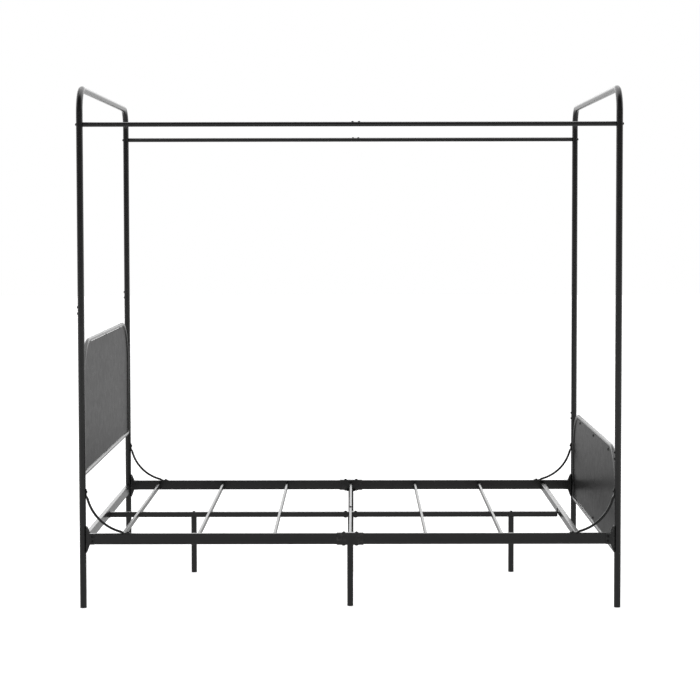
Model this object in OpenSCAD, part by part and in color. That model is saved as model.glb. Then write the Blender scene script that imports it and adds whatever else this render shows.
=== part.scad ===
// Four poster canopy bed of black steel tube, bolted together.
// +X runs from the head to the foot, +Y from the left side to the right side and +Z up;
// left and right are as seen from the foot, looking at the headboard.
// The origin is on the floor under the middle of the bed. Sizes are in millimetres.

/* [Overall] */
// Head posts to foot posts, centre to centre
length_pitch = 2080; // [1720:10:2500]
// Left posts to right posts, centre to centre
width_pitch = 1560; // [1300:10:1880]
// Top of the canopy arches above the floor
canopy_h = 2030; // [1690:10:2440]

/* [Posts and canopy arches] */
// Outer diameter of the posts and the arches
post_d = 26; // [20:1:32]
// Wall of that tube
post_wall = 1.2; // [1:0.1:2]
// Height of the joint in the head posts
head_joint_z = 1136; // [940:1:1370]
// Height of the joint in the foot posts
foot_joint_z = 569; // [490:1:690]
// Bend radius of an arch, to the middle of the tube
arch_bend_r = 90; // [60:5:200]
// Straight end of an arch below its bend
arch_leg = 5; // [2:1:60]
// Length of a reduced end that plugs into the next post tube
spigot_l = 70; // [58:1:90]
// Clearance around a reduced end
plug_gap = 0.2; // [0.1:0.05:0.4]
// First screw above a joint
joint_screw_rise = 12; // [9:1:16]
// Second screw above the first one
joint_screw_pitch = 25; // [18:1:30]

/* [Canopy rails] */
// Outer diameter of the canopy rails
canopy_rail_d = 18; // [13:1:20]
// Wall of that tube
canopy_rail_wall = 1.2; // [1:0.1:1.6]
// Canopy rail below the joint between post and arch
canopy_rail_drop = 45; // [36:1:55]
// Length of the reduced end in the middle of a canopy rail
canopy_spigot_l = 60; // [50:1:80]
// Solid threaded piece in a canopy rail's end
canopy_plug_l = 25; // [20:1:40]

/* [Side rails] */
// Height of the rail tube
rail_h = 43; // [33:1:50]
// Thickness of the rail tube
rail_t = 18; // [14:1:24]
// Wall of the rail tube
rail_wall = 1.5; // [1:0.1:2]
// Top of the side rails above the floor
rail_top_z = 292; // [240:1:350]
// Length of the sleeve around the middle joint
sleeve_l = 104; // [86:1:140]
// Wall of the sleeve
sleeve_wall = 2; // [2:0.1:4]
// Clearance around the rail in its sleeve and brackets
sleeve_gap = 0.3; // [0.2:0.1:0.6]
// Sleeve bolts from the middle
sleeve_bolt_x = 25; // [21:1:35]
// Plate thickness of a rail bracket
bracket_plate = 3; // [2:0.1:4]
// Height of a rail bracket at the post
bracket_h = 103; // [86:1:125]
// Middle of the bracket's web below the middle of the rail
bracket_drop = 2; // [0:0.5:4]
// Reach of the tapered part of a bracket
bracket_taper = 14; // [10:1:18]
// Reach of a bracket over the rail
bracket_reach = 34; // [32:1:50]
// Bracket bolts from the post
bracket_bolt_reach = 25; // [23:1:27]
// Bracket bolts above and below the middle of the rail
bracket_bolt_rise = 9.5; // [7:0.5:10]

/* [Mattress deck] */
// Width of a slat
slat_w = 10; // [8:1:16]
// Height of a slat
slat_h = 20; // [16:1:24]
// Wall of a slat and of the foot crossbar
slat_wall = 1.2; // [1:0.1:1.6]
// Slat tops below the tops of the side rails
slat_drop = 12; // [5:1:12]
// First slat from the head posts, and foot crossbar from the foot posts
deck_inset = 146; // [120:1:175]
// Side of the square centre beam
beam_w = 22; // [18:1:26]
// Wall of the centre beam and of the head crossbar
beam_wall = 1.5; // [1.2:0.1:2]
// Clearance around the pieces that slide into the beam
beam_gap = 0.2; // [0.1:0.1:0.4]
// Splice bolts from the middle
splice_bolt_x = 21.5; // [19:0.5:30]
// Length of the splice inside the centre beam
splice_l = 90; // [75:1:120]
// Length of a beam bracket's tongue
tongue_l = 40; // [30:1:60]
// Height of the crossbar between the head posts
head_bar_h = 40; // [32:1:48]
// Thickness of that crossbar
head_bar_t = 18; // [14:1:22]
// Top of that crossbar below the slat tops
head_bar_drop = 4; // [0:1:8]
// Height of the crossbar near the foot posts
foot_bar_h = 28; // [22:1:32]
// Width of that crossbar
foot_bar_w = 20; // [15:1:26]
// Depth of the rests that carry the slats
rest_l = 20; // [12:1:24]
// Width of the rests
rest_w = 20; // [14:1:30]
// Plate thickness of the rests
rest_t = 2; // [1.5:0.5:3]

/* [Legs] */
// Outer diameter of the legs
leg_d = 24; // [18:1:26]
// Wall of the legs
leg_wall = 1.2; // [1:0.1:2]
// Beam leg from the head posts, along the bed
head_leg_inset = 369; // [308:1:442]
// Beam leg from the foot posts, along the bed
foot_leg_inset = 353; // [295:1:423]
// Side legs from the middle of the side rails
side_leg_inset = 35; // [33:1:42]
// Height of the plastic feet
foot_h = 4; // [3:0.5:8]

/* [Headboard and footboard] */
// Top of the headboard
headboard_top_z = 1042; // [870:1:1100]
// Bottom of the headboard
headboard_low_z = 510; // [425:1:560]
// Top of the footboard
footboard_top_z = 617; // [560:1:740]
// Bottom of the footboard
footboard_low_z = 202; // [150:1:240]
// Bend radius of a board frame, to the middle of the tube
board_bend_r = 195; // [150:5:210]
// Bend radius of a board frame's bottom corners
board_low_bend_r = 16; // [14:1:20]
// Outer diameter of a board frame's tube
board_tube_d = 16; // [13:1:19]
// Wall of that tube
board_wall = 1.2; // [1:0.1:1.6]
// Gap between a board frame and the posts
board_post_gap = 1; // [0.5:0.5:6]
// Thickness of a panel
panel_t = 2; // [1.5:0.5:3]
// Slot between a panel and its frame
panel_gap = 2; // [1.5:0.5:8]
// Panel fixings from the panel's edge
panel_fix_inset = 13; // [10.5:0.5:16]
// Outer top fixings from the start of the corner bend
panel_fix_bend = 63; // [40:1:120]
// Outer bottom fixings from the middle of the side tube
panel_fix_side = 98; // [60:1:160]
// Side fixings above the bottom of the board
panel_fix_rise = 143; // [120:1:160]

/* [Corner braces] */
// Diameter of a brace's rod
brace_d = 10; // [8:0.5:11]
// Bolts of a brace from the corner of post and rail
brace_reach = 162; // [135:1:195]
// Bend radius of a brace
brace_bend_r = 180; // [150:1:216]
// Thickness of its flat ends
brace_tab_t = 3; // [2:0.5:3.5]
// Width of its flat ends
brace_tab_w = 12; // [11:0.5:16]

/* [Fasteners] */
// Screws of the tube joints and of the panels
screw_d = 5; // [4:0.5:5]
// Bolts of the brackets, braces, legs and canopy rails
bolt_d = 6; // [5:0.5:6.5]
// Bolts of the sleeves and of the splice
joint_bolt_d = 8; // [6:0.5:8]
// Clearance hole wider than its bolt
hole_gap = 0.6; // [0.3:0.1:1]
// Threaded hole wider than its bolt
thread_gap = 0.1; // [0.05:0.05:0.2]

/* [Hidden] */
$fn = 48;
cut = 1;             // how far a cutting tool runs past a face
weld = 0.01;         // how far a welded plate is let into its tube
end_gap = 1;         // gap between ends that only come close

// posts and canopy
post_x = length_pitch / 2;
post_y = width_pitch / 2;
post_face_x = post_x - post_d / 2;
spigot_d = post_d - 2 * post_wall - 2 * plug_gap;
neck_l = 5;          // solid ring where a tube is reduced
arch_axis_z = canopy_h - post_d / 2;
arch_joint_z = arch_axis_z - arch_bend_r - arch_leg;
canopy_rail_z = arch_joint_z - canopy_rail_drop;
canopy_spigot_d = canopy_rail_d - 2 * canopy_rail_wall - 2 * plug_gap;
brace_bolt_z = rail_top_z + brace_reach;

// side rails
rail_z = rail_top_z - rail_h / 2;
rail_end_x = post_face_x - bracket_plate - end_gap;
rail_inner_y = post_y - rail_t / 2;
cheek_y = rail_t / 2 + sleeve_gap;               // inner face of a cheek, from the rail's middle
bracket_half_t = cheek_y + bracket_plate;
sleeve_half_t = cheek_y + sleeve_wall;
sleeve_half_h = rail_h / 2 + sleeve_gap + sleeve_wall;
sleeve_low_z = rail_z - sleeve_half_h;
sleeve_inner_y = post_y - sleeve_half_t;
ear_half_l = 20;     // half the length of the sleeve's ear
ear_margin = 15;     // ear past the middle of the side leg

// mattress deck
slat_top_z = rail_top_z - slat_drop;
slat_low_z = slat_top_z - slat_h;
slat_count = 6;
slat_pitch = (length_pitch - 2 * deck_inset) / slat_count;
slat_half_l = sleeve_inner_y - end_gap;          // with its end cap
cap_t = 1.5;         // flange of an end cap
cap_plug_l = 12;
rest_up = 14;        // upstand of a slat rest on the rail
foot_bar_x = post_x - deck_inset;
foot_bar_low_z = slat_top_z - foot_bar_h;
head_bar_top_z = slat_top_z - head_bar_drop;
beam_z = slat_low_z - beam_w / 2;
beam_low_z = slat_low_z - beam_w;
splice_w = beam_w - 2 * beam_wall - 2 * beam_gap;
beam_head_x = post_x - head_bar_t / 2 - bracket_plate - end_gap;
beam_foot_x = foot_bar_x - foot_bar_w / 2 - bracket_plate - end_gap;
beam_plate_w = beam_w + 4;        // plate a little wider than the beam
head_plate_drop = 12;             // top of the head bracket below its crossbar
foot_plate_rise = 1;              // foot bracket from the underside of the beam
foot_plate_drop = 3;              // its top below the crossbar

// legs
side_leg_y = post_y - side_leg_inset;
beam_leg_x = [head_leg_inset - post_x, post_x - foot_leg_inset];
leg_plug_l = 18;     // solid top of a leg
leg_thread_l = 15;   // threaded hole in it
leg_bolt_short = 2;  // bolt short of that hole's end
foot_plug_l = 15;
foot_chamfer = 1.2;

// boards
board_y = post_y - post_d / 2 - board_post_gap - board_tube_d / 2;
panel_y = board_y - board_tube_d / 2 - panel_gap;
tab_t = 3;           // plate of the tabs that carry a panel
tab_w = 24;
lug_t = 6;           // lugs between a board frame and its posts
lug_h = 20;
lug_inset = 60;      // lugs from the bottom and from the bend
stud_l = 10;
nut_h = 4;
nut_across = 8;

// braces
brace_near = brace_d / 2 + 0.2;                  // rod's end from the surface beside it
brace_far = brace_reach - 23;                    // rod's end from the corner
brace_tab_back = 28;                             // tab from its bolt towards the corner
brace_c = (brace_near + brace_far + sqrt(2 * pow(brace_bend_r, 2) - pow(brace_far - brace_near, 2))) / 2;

// fastener heads
screw_head = [10, 3];
bolt_head = [11, 3.5];
joint_bolt_head = [13, 4];
joint_nut_h = 3.2;
panel_head = [14, 3.5];

// shanks past the last wall that they grip
tube_screw_past = 4;
canopy_screw_past = 2;
panel_screw_past = 2;
bolt_past = 1;
brace_bolt_past = 4;
canopy_bolt_short = 5;   // bolt short of the plug's inner end

// ---------------------------------------------------------------- shared shapes

// Rods along +X, +Y and +Z that start at the origin.
module rod_x(d, l) { rotate([0, 90, 0]) cylinder(h = l, d = d); }
module rod_y(d, l) { rotate([-90, 0, 0]) cylinder(h = l, d = d); }
module rod_z(d, l) { cylinder(h = l, d = d); }

// Rectangular tube along +X from the origin, y wide and z high.
module box_tube(l, y, z, wall) {
    difference() {
        translate([0, -y / 2, -z / 2]) cube([l, y, z]);
        translate([-cut, wall - y / 2, wall - z / 2])
            cube([l + 2 * cut, y - 2 * wall, z - 2 * wall]);
    }
}

// Draws its children, made for the foot right corner, at the corner named by its signs.
module at_corner(end, side) {
    mirror([end < 0 ? 1 : 0, 0, 0]) mirror([0, side < 0 ? 1 : 0, 0]) children();
}

module at_corners() {
    for (end = [-1, 1], side = [-1, 1]) at_corner(end, side) children();
}

// Screw whose tapered head, [diameter, height], stands on z = 0 over a shank that runs down.
module screw(d, l, head) {
    socket_d = head[0] * 0.45;
    difference() {
        union() {
            cylinder(h = head[1], d1 = head[0], d2 = head[0] * 0.7);
            translate([0, 0, -l]) rod_z(d, l + weld);
        }
        translate([0, 0, head[1] / 2]) cylinder(h = head[1], d = socket_d, $fn = 6);
    }
}

// Hexagon nut that hangs down from z = 0.
module nut(d, across, h) {
    translate([0, 0, -h]) difference() {
        cylinder(h = h, d = across / cos(30), $fn = 6);
        translate([0, 0, -cut]) rod_z(d + thread_gap, h + 2 * cut);
    }
}

// ---------------------------------------------------------------- posts and arches

// Two holes in the -X wall of the tube at a joint.
module joint_screw_holes(joint_z, d) {
    for (i = [0, 1])
        translate([-post_d, 0, joint_z + joint_screw_rise + i * joint_screw_pitch]) rod_x(d, post_d);
}

// Lower post with a reduced end on top and a threaded hole for its brace.
module post_lower(end, side, joint_z) {
    bore = post_d - 2 * post_wall;
    color("black") translate([end * post_x, side * post_y, 0]) difference() {
        union() {
            translate([0, 0, foot_h]) rod_z(post_d, joint_z - foot_h);
            translate([0, 0, joint_z - neck_l]) rod_z(spigot_d, spigot_l + neck_l);
        }
        translate([0, 0, foot_h - cut]) rod_z(bore, joint_z - neck_l - foot_h + cut);
        translate([0, 0, joint_z - neck_l - cut])
            rod_z(spigot_d - 2 * post_wall, spigot_l + neck_l + 2 * cut);
        joint_screw_holes(joint_z, screw_d + thread_gap);
        translate([end > 0 ? -post_d : 0, 0, brace_bolt_z]) rod_x(bolt_d + thread_gap, post_d);
    }
}

// Upper post, open at both ends, with a cross hole for the canopy rail's bolt.
module post_upper(end, side, joint_z) {
    color("black") translate([end * post_x, side * post_y, 0]) difference() {
        translate([0, 0, joint_z]) rod_z(post_d, arch_joint_z - joint_z);
        translate([0, 0, joint_z - cut])
            rod_z(post_d - 2 * post_wall, arch_joint_z - joint_z + 2 * cut);
        joint_screw_holes(joint_z, screw_d + hole_gap);
        translate([-post_d, 0, canopy_rail_z]) rod_x(bolt_d + hole_gap, 2 * post_d);
    }
}

// An arch's bends, level tube and straight legs, as a rod of diameter d.
module arch_path(d) {
    bend_y = post_y - arch_bend_r;
    translate([0, -bend_y, arch_axis_z]) rod_y(d, 2 * bend_y);
    for (flip = [0, 1]) mirror([0, flip, 0]) {
        translate([0, bend_y, arch_axis_z - arch_bend_r]) rotate([90, 0, 90])
            rotate_extrude(angle = 90) translate([arch_bend_r, 0]) circle(d = d);
        translate([0, post_y, arch_joint_z]) rod_z(d, arch_leg);
    }
}

// Arch over two posts, with reduced ends that plug into them.
module arch(end) {
    color("black") translate([end * post_x, 0, 0]) difference() {
        union() {
            arch_path(post_d);
            for (side = [-1, 1]) translate([0, side * post_y, arch_joint_z - spigot_l])
                rod_z(spigot_d, spigot_l + weld);
        }
        arch_path(spigot_d - 2 * post_wall);
        for (side = [-1, 1]) translate([0, side * post_y, 0]) {
            translate([0, 0, arch_joint_z - spigot_l - cut])
                rod_z(spigot_d - 2 * post_wall, spigot_l + cut + weld);
            translate([-post_d, 0, canopy_rail_z]) rod_x(bolt_d + hole_gap, 2 * post_d);
        }
    }
}

// Screws of the four post joints and of the two canopy rail joints.
module tube_joint_screws() {
    color("dimgray") for (side = [-1, 1], i = [0, 1]) {
        rise = joint_screw_rise + i * joint_screw_pitch;
        for (end = [-1, 1])
            translate([end * post_x - post_d / 2, side * post_y,
                       (end < 0 ? head_joint_z : foot_joint_z) + rise])
                rotate([0, -90, 0]) screw(screw_d, 2 * post_wall + tube_screw_past, screw_head);
        translate([rise, side * post_y, canopy_rail_z + canopy_rail_d / 2])
            screw(screw_d, 2 * canopy_rail_wall + canopy_screw_past, screw_head);
    }
}

// Plastic foot pressed into a tube: a chamfered disc under a round plug.
module tube_foot(d, wall) {
    rotate_extrude() polygon([
        [0, 0], [d / 2 - foot_chamfer, 0], [d / 2, foot_chamfer], [d / 2, foot_h],
        [d / 2 - wall - plug_gap, foot_h], [d / 2 - wall - plug_gap, foot_h + foot_plug_l],
        [0, foot_h + foot_plug_l]
    ]);
}

module post_feet() {
    color("black") at_corners() translate([post_x, post_y, 0]) tube_foot(post_d, post_wall);
}

// ---------------------------------------------------------------- canopy rails

module canopy_screw_holes(d) {
    for (i = [0, 1])
        translate([joint_screw_rise + i * joint_screw_pitch, 0, 0]) rod_z(d, canopy_rail_d);
}

// Head half: threaded plug at the post, reduced end that plugs into the foot half.
module canopy_rail_head_half(side) {
    color("black") translate([0, side * post_y, canopy_rail_z]) difference() {
        union() {
            translate([-post_face_x, 0, 0]) rod_x(canopy_rail_d, post_face_x);
            translate([-neck_l, 0, 0]) rod_x(canopy_spigot_d, canopy_spigot_l + neck_l);
        }
        translate([canopy_plug_l - post_face_x, 0, 0])
            rod_x(canopy_rail_d - 2 * canopy_rail_wall, post_face_x - canopy_plug_l - neck_l);
        translate([-neck_l - cut, 0, 0])
            rod_x(canopy_spigot_d - 2 * canopy_rail_wall, canopy_spigot_l + neck_l + 2 * cut);
        translate([-post_face_x - cut, 0, 0]) rod_x(bolt_d + thread_gap, canopy_plug_l + 2 * cut);
        canopy_screw_holes(screw_d + thread_gap);
    }
}

// Foot half: open tube at the joint, threaded plug at the post.
module canopy_rail_foot_half(side) {
    color("black") translate([0, side * post_y, canopy_rail_z]) difference() {
        rod_x(canopy_rail_d, post_face_x);
        translate([-cut, 0, 0])
            rod_x(canopy_rail_d - 2 * canopy_rail_wall, post_face_x - canopy_plug_l + cut);
        translate([post_face_x - canopy_plug_l - cut, 0, 0])
            rod_x(bolt_d + thread_gap, canopy_plug_l + 2 * cut);
        canopy_screw_holes(screw_d + hole_gap);
    }
}

module canopy_rail_bolts() {
    color("dimgray") at_corners() translate([post_x + post_d / 2, post_y, canopy_rail_z])
        rotate([0, 90, 0]) screw(bolt_d, post_d + canopy_plug_l - canopy_bolt_short, bolt_head);
}

// ---------------------------------------------------------------- headboard and footboard

// Closed loop of a board frame in the YZ plane, as a rod of diameter d.
module board_path(d, top_z, low_z) {
    top_y = board_y - board_bend_r;
    low_y = board_y - board_low_bend_r;
    side_top = top_z - board_tube_d / 2 - board_bend_r;
    side_low = low_z + board_tube_d / 2 + board_low_bend_r;
    translate([0, -top_y, side_top + board_bend_r]) rod_y(d, 2 * top_y);
    translate([0, -low_y, side_low - board_low_bend_r]) rod_y(d, 2 * low_y);
    for (flip = [0, 1]) mirror([0, flip, 0]) {
        translate([0, top_y, side_top]) rotate([90, 0, 90])
            rotate_extrude(angle = 90) translate([board_bend_r, 0]) circle(d = d);
        translate([0, low_y, side_low]) rotate([90, 0, 90]) mirror([0, 1, 0])
            rotate_extrude(angle = 90) translate([board_low_bend_r, 0]) circle(d = d);
        translate([0, board_y, side_low]) rod_z(d, side_top - side_low);
    }
}

function panel_low_z(low_z) = low_z + board_tube_d + panel_gap;
function panel_top_z(top_z) = top_z - board_tube_d - panel_gap;

// Panel fixings as [y, z, turn]; the turn points a tab at the tube beside it.
function panel_fixings(top_z, low_z) = let (
    high = panel_top_z(top_z) - panel_fix_inset,
    low = panel_low_z(low_z) + panel_fix_inset,
    top_y = board_y - board_bend_r - panel_fix_bend,
    low_y = board_y - panel_fix_side,
    side_y = panel_y - panel_fix_inset,
    side_z = low_z + panel_fix_rise
) [
    [0, high, 0], [-top_y, high, 0], [top_y, high, 0],
    [0, low, 180], [-low_y, low, 180], [low_y, low, 180],
    [-side_y, side_z, 90], [side_y, side_z, -90]
];

// Tab with a hole at the origin that reaches up to the middle of the frame tube.
module panel_tab(hole_d) {
    below = screw_d;
    difference() {
        translate([0, -tab_w / 2, -below])
            cube([tab_t, tab_w, below + panel_fix_inset + panel_gap + board_tube_d / 2]);
        translate([-cut, 0, 0]) rod_x(hole_d, tab_t + 2 * cut);
    }
}

// Board frame with its tabs and post lugs, drawn at x = 0 with its panel towards +X.
module board_frame(top_z, low_z, hole_d) {
    lug_l = board_tube_d / 2 + board_post_gap;
    difference() {
        union() {
            board_path(board_tube_d, top_z, low_z);
            for (fix = panel_fixings(top_z, low_z))
                translate([-tab_t, fix[0], fix[1]]) rotate([fix[2], 0, 0]) panel_tab(hole_d);
            for (flip = [0, 1], z = [low_z + lug_inset, top_z - board_bend_r - lug_inset])
                mirror([0, flip, 0]) translate([-lug_t / 2, board_y, z - lug_h / 2])
                    cube([lug_t, lug_l, lug_h]);
        }
        board_path(board_tube_d - 2 * board_wall, top_z, low_z);
    }
}

// Sheet panel whose corners follow the bends of its frame, from x = 0 to its thickness.
module board_sheet(top_z, low_z) {
    low = panel_low_z(low_z);
    top = panel_top_z(top_z);
    r = board_bend_r - board_tube_d / 2 - panel_gap;
    low_r = board_low_bend_r - board_tube_d / 2 - panel_gap;
    rotate([90, 0, 90]) linear_extrude(panel_t) union() {
        translate([-panel_y, low + low_r]) square([2 * panel_y, top - r - low - low_r]);
        translate([low_r - panel_y, low]) square([2 * (panel_y - low_r), 2 * low_r]);
        translate([r - panel_y, low + low_r]) square([2 * (panel_y - r), top - low - low_r]);
        for (side = [-1, 1]) {
            translate([side * (panel_y - r), top - r]) circle(r = r, $fn = 128);
            translate([side * (panel_y - low_r), low + low_r]) circle(r = low_r);
        }
    }
}

module headboard_frame() {
    color("black") translate([-post_x, 0, 0])
        board_frame(headboard_top_z, headboard_low_z, screw_d + hole_gap);
}

// The headboard's panel has welded studs at the back, so its face stays smooth.
module headboard_panel() {
    color("black") translate([-post_x, 0, 0]) union() {
        board_sheet(headboard_top_z, headboard_low_z);
        for (fix = panel_fixings(headboard_top_z, headboard_low_z))
            translate([-stud_l, fix[0], fix[1]]) rod_x(screw_d, stud_l + weld);
    }
}

module headboard_nuts() {
    color("dimgray") for (fix = panel_fixings(headboard_top_z, headboard_low_z))
        translate([-post_x - tab_t, fix[0], fix[1]]) rotate([0, 90, 0])
            nut(screw_d, nut_across, nut_h);
}

module footboard_frame() {
    color("black") translate([post_x, 0, 0]) mirror([1, 0, 0])
        board_frame(footboard_top_z, footboard_low_z, screw_d + thread_gap);
}

module footboard_panel() {
    color("black") translate([post_x, 0, 0]) mirror([1, 0, 0]) difference() {
        board_sheet(footboard_top_z, footboard_low_z);
        for (fix = panel_fixings(footboard_top_z, footboard_low_z))
            translate([-cut, fix[0], fix[1]]) rod_x(screw_d + hole_gap, panel_t + 2 * cut);
    }
}

module footboard_screws() {
    color("dimgray") for (fix = panel_fixings(footboard_top_z, footboard_low_z))
        translate([post_x - panel_t, fix[0], fix[1]]) rotate([0, -90, 0])
            screw(screw_d, panel_t + tab_t + panel_screw_past, panel_head);
}

// ---------------------------------------------------------------- side rails

// Angle on the rail's inner face whose shelf carries the end of a slat.
module slat_rest(x, shelf_z) {
    translate([x - rest_w / 2, rail_inner_y - rest_l, shelf_z - rest_t])
        cube([rest_w, rest_l + weld, rest_t]);
    translate([x - rest_w / 2, rail_inner_y - rest_t, shelf_z - rest_t])
        cube([rest_w, rest_t + weld, rest_up]);
}

// Half a side rail, drawn as the right rail's foot half.
module rail_half(is_foot) {
    color("black") difference() {
        union() {
            translate([end_gap / 2, post_y, rail_z])
                box_tube(rail_end_x - end_gap / 2, rail_t, rail_h, rail_wall);
            for (i = [1:2]) slat_rest(i * slat_pitch, slat_low_z);
            slat_rest(3 * slat_pitch, is_foot ? foot_bar_low_z : slat_low_z);
        }
        for (rise = [-bracket_bolt_rise, bracket_bolt_rise])
            translate([post_face_x - bracket_bolt_reach, post_y - rail_t, rail_z + rise])
                rod_y(bolt_d + hole_gap, 2 * rail_t);
        translate([sleeve_bolt_x, post_y, rail_z - rail_h])
            rod_z(joint_bolt_d + hole_gap, 2 * rail_h);
        translate([post_face_x - brace_reach, post_y, rail_z]) rod_z(bolt_d + thread_gap, rail_h);
    }
}

// Sleeve over the middle joint of the right rail, with an ear for the side leg and
// a shelf for the middle slat.
module rail_sleeve() {
    ear_l = sleeve_inner_y - side_leg_y + ear_margin;
    shelf_l = sleeve_inner_y - side_leg_y - bolt_head[0] / 2 - end_gap;
    color("black") difference() {
        union() {
            translate([-sleeve_l / 2, post_y, rail_z])
                box_tube(sleeve_l, 2 * sleeve_half_t, 2 * sleeve_half_h, sleeve_wall);
            translate([-ear_half_l, sleeve_inner_y - ear_l, sleeve_low_z])
                cube([2 * ear_half_l, ear_l + weld, sleeve_wall]);
            translate([-rest_w / 2, sleeve_inner_y - shelf_l, slat_low_z - rest_t])
                cube([rest_w, shelf_l + weld, rest_t]);
        }
        for (x = [-sleeve_bolt_x, sleeve_bolt_x])
            translate([x, post_y, rail_z - rail_h]) rod_z(joint_bolt_d + hole_gap, 2 * rail_h);
        translate([0, side_leg_y, sleeve_low_z - cut])
            rod_z(bolt_d + hole_gap, sleeve_wall + 2 * cut);
    }
}

// Channel welded to a post: a web on the post and two cheeks over the rail's end. The
// inner cheek is threaded. Drawn at the foot right corner.
module rail_bracket() {
    step = 2.5;
    web_top = bracket_h / 2 - bracket_drop;
    web_low = -bracket_h / 2 - bracket_drop;
    outline = [
        [0, web_low], [step, web_low], [bracket_taper, -rail_h / 2], [bracket_reach, -rail_h / 2],
        [bracket_reach, rail_h / 2], [bracket_taper, rail_h / 2], [step, web_top], [0, web_top]
    ];
    translate([post_face_x, post_y, rail_z]) mirror([1, 0, 0]) difference() {
        union() {
            translate([0, -bracket_half_t, web_low])
                cube([bracket_plate, 2 * bracket_half_t, bracket_h]);
            for (y = [-cheek_y, bracket_half_t])
                translate([0, y, 0]) rotate([90, 0, 0]) linear_extrude(bracket_plate) polygon(outline);
        }
        for (rise = [-bracket_bolt_rise, bracket_bolt_rise])
            translate([bracket_bolt_reach, 0, rise]) {
                rod_y(bolt_d + hole_gap, 2 * rail_t);
                translate([0, -2 * rail_t, 0]) rod_y(bolt_d + thread_gap, 2 * rail_t);
            }
    }
}

module rail_brackets() {
    color("black") at_corners() rail_bracket();
}

module rail_bracket_bolts() {
    color("dimgray") at_corners() for (rise = [-bracket_bolt_rise, bracket_bolt_rise])
        translate([post_face_x - bracket_bolt_reach, post_y + bracket_half_t, rail_z + rise])
            rotate([-90, 0, 0]) screw(bolt_d, 2 * bracket_half_t + bolt_past, bolt_head);
}

// Bolts through the two sleeves and through the splice of the centre beam.
module joint_bolts() {
    color("dimgray") {
        at_corners() translate([sleeve_bolt_x, post_y, rail_z + sleeve_half_h])
            screw(joint_bolt_d, 2 * sleeve_half_h + joint_nut_h + bolt_past, joint_bolt_head);
        for (x = [-splice_bolt_x, splice_bolt_x]) translate([x, 0, slat_low_z])
            screw(joint_bolt_d, beam_w + joint_nut_h + bolt_past, joint_bolt_head);
    }
}

module joint_nuts() {
    color("dimgray") {
        at_corners() translate([sleeve_bolt_x, post_y, sleeve_low_z])
            nut(joint_bolt_d, joint_bolt_head[0], joint_nut_h);
        for (x = [-splice_bolt_x, splice_bolt_x]) translate([x, 0, beam_low_z])
            nut(joint_bolt_d, joint_bolt_head[0], joint_nut_h);
    }
}

// ---------------------------------------------------------------- mattress deck

// Rectangular tube across the bed, w wide, between +-half_l, with its bottom at low_z.
module cross_tube(x, half_l, w, h, low_z, wall) {
    translate([x, -half_l, low_z + h / 2]) rotate([0, 0, 90]) box_tube(2 * half_l, w, h, wall);
}

// Crossbar welded between the head posts, its ends cut to their round.
module head_crossbar() {
    color("black") difference() {
        cross_tube(-post_x, post_y, head_bar_t, head_bar_h, head_bar_top_z - head_bar_h, beam_wall);
        for (side = [-1, 1]) translate([-post_x, side * post_y, 0])
            rod_z(post_d + weld, slat_top_z + cut);
    }
}

module foot_crossbar() {
    color("black")
        cross_tube(foot_bar_x, slat_half_l - cap_t, foot_bar_w, foot_bar_h, foot_bar_low_z, slat_wall);
}

// Slats are numbered from the head; the fourth lies in the middle, on the beam's joint.
function slat_x(number) = (number - 4) * slat_pitch;

module slat(number) {
    color("black") difference() {
        cross_tube(slat_x(number), slat_half_l - cap_t, slat_w, slat_h, slat_low_z, slat_wall);
        if (number == 4) translate([0, 0, slat_low_z - cut])
            rod_z(bolt_d + hole_gap, slat_h + 2 * cut);
    }
}

// Plastic cap in the end of a tube that ends at y = 0.
module end_cap(w, h) {
    plug_w = w - 2 * slat_wall - 2 * plug_gap;
    plug_h = h - 2 * slat_wall - 2 * plug_gap;
    translate([-w / 2, 0, -h / 2]) cube([w, cap_t, h]);
    translate([-plug_w / 2, -cap_plug_l, -plug_h / 2]) cube([plug_w, cap_plug_l + weld, plug_h]);
}

module slat_end_caps() {
    color("black") for (flip = [0, 1]) mirror([0, flip, 0]) {
        for (number = [1:slat_count])
            translate([slat_x(number), slat_half_l - cap_t, slat_low_z + slat_h / 2])
                end_cap(slat_w, slat_h);
        translate([foot_bar_x, slat_half_l - cap_t, foot_bar_low_z + foot_bar_h / 2])
            end_cap(foot_bar_w, foot_bar_h);
    }
}

// Upright holes through the centre beam at the given places along it.
module beam_holes(places, d) {
    for (x = places) translate([x, 0, beam_low_z - cut]) rod_z(d + hole_gap, beam_w + 2 * cut);
}

module beam_half(start_x, end_x) {
    color("black") difference() {
        translate([start_x, 0, beam_z]) box_tube(end_x - start_x, beam_w, beam_w, beam_wall);
        beam_holes([-splice_bolt_x, splice_bolt_x], joint_bolt_d);
        beam_holes([beam_leg_x[0], 0, beam_leg_x[1]], bolt_d);
    }
}

module beam_splice() {
    color("dimgray") difference() {
        translate([-splice_l / 2, 0, beam_z]) box_tube(splice_l, splice_w, splice_w, beam_wall);
        beam_holes([-splice_bolt_x, splice_bolt_x], joint_bolt_d);
        beam_holes([0], bolt_d);
    }
}

// Plate welded to a crossbar's face at x = 0, with a tongue that slides into the beam.
module beam_bracket(low_z, high_z) {
    color("black") union() {
        translate([0, -beam_plate_w / 2, low_z]) cube([bracket_plate, beam_plate_w, high_z - low_z]);
        translate([bracket_plate - weld, 0, beam_z])
            box_tube(tongue_l + weld, splice_w, splice_w, beam_wall);
    }
}

module beam_head_bracket() {
    translate([head_bar_t / 2 - post_x, 0, 0])
        beam_bracket(head_bar_top_z - head_bar_h, head_bar_top_z - head_plate_drop);
}

module beam_foot_bracket() {
    translate([foot_bar_x - foot_bar_w / 2, 0, 0]) mirror([1, 0, 0])
        beam_bracket(beam_low_z + foot_plate_rise, slat_top_z - foot_plate_drop);
}

// ---------------------------------------------------------------- legs

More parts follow.
